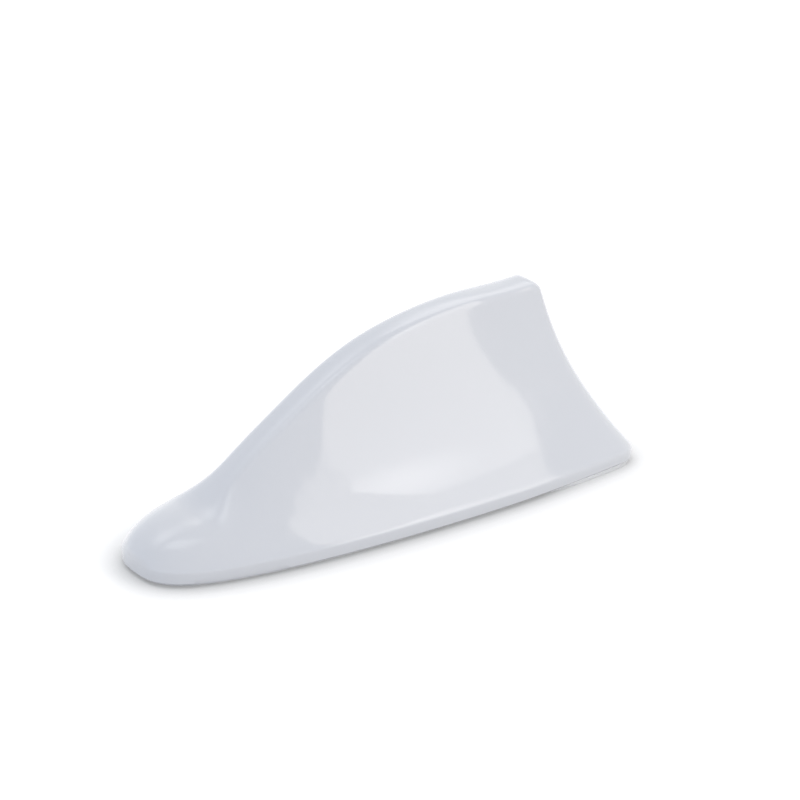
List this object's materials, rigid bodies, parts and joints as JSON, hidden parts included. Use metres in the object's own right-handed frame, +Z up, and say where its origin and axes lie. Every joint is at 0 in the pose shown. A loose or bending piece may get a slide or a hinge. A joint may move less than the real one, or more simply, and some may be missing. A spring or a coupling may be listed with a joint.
{
  "type": "shark fin aerial",
  "caption": "Glossy moulded shark fin car roof aerial over a sealed base plate with a foam adhesive pad, a lead grommet, and the radiator, coil and amplifier board inside.",
  "frame": {"origin": "on the roof surface, at the middle of the body's length and width, in the plane of the foam pad's adhesive face", "axes": "+X from the rounded nose to the tail, +Y across the body, +Z up from the roof to the fin's tip"},
  "size_m": [0.165, 0.069, 0.0565],
  "materials": {
    "gloss_white": "polished white ABS moulding",
    "black_plastic": "fine-textured black ABS",
    "white_foam": "closed-cell foam tape",
    "grey_foam": "open-cell foam strip",
    "black_rubber": "soft matt rubber",
    "zinc_steel": "bright zinc plate",
    "tinned_steel": "tinned sheet",
    "spring_brass": "bright strip",
    "green_laminate": "solder-masked glass laminate",
    "aluminium_can": "drawn aluminium",
    "ferrite": "dull sintered ferrite",
    "ivory_plastic": "satin moulding",
    "copper_wire": "enamelled copper wire"
  },
  "bodies": {
    "root": {"shell": "gloss_white", "base_plate": "black_plastic", "adhesive_pad": "white_foam", "seal_gasket": "black_rubber", "base_screws": "zinc_steel", "lead_grommet": "black_rubber", "ground_plate": "tinned_steel", "earth_spring": "spring_brass", "amplifier_board": "green_laminate", "board_screws": "zinc_steel", "shield_can": "tinned_steel", "amplifier_chip": "black_plastic", "filter_capacitors": "aluminium_can", "tuning_chokes": "ferrite", "lead_header": "ivory_plastic", "coil_former": "ivory_plastic", "loading_coil": "copper_wire", "radiator_plate": "tinned_steel", "plate_stand": "ivory_plastic", "foam_damper": "grey_foam"}
  },
  "joints": []
}
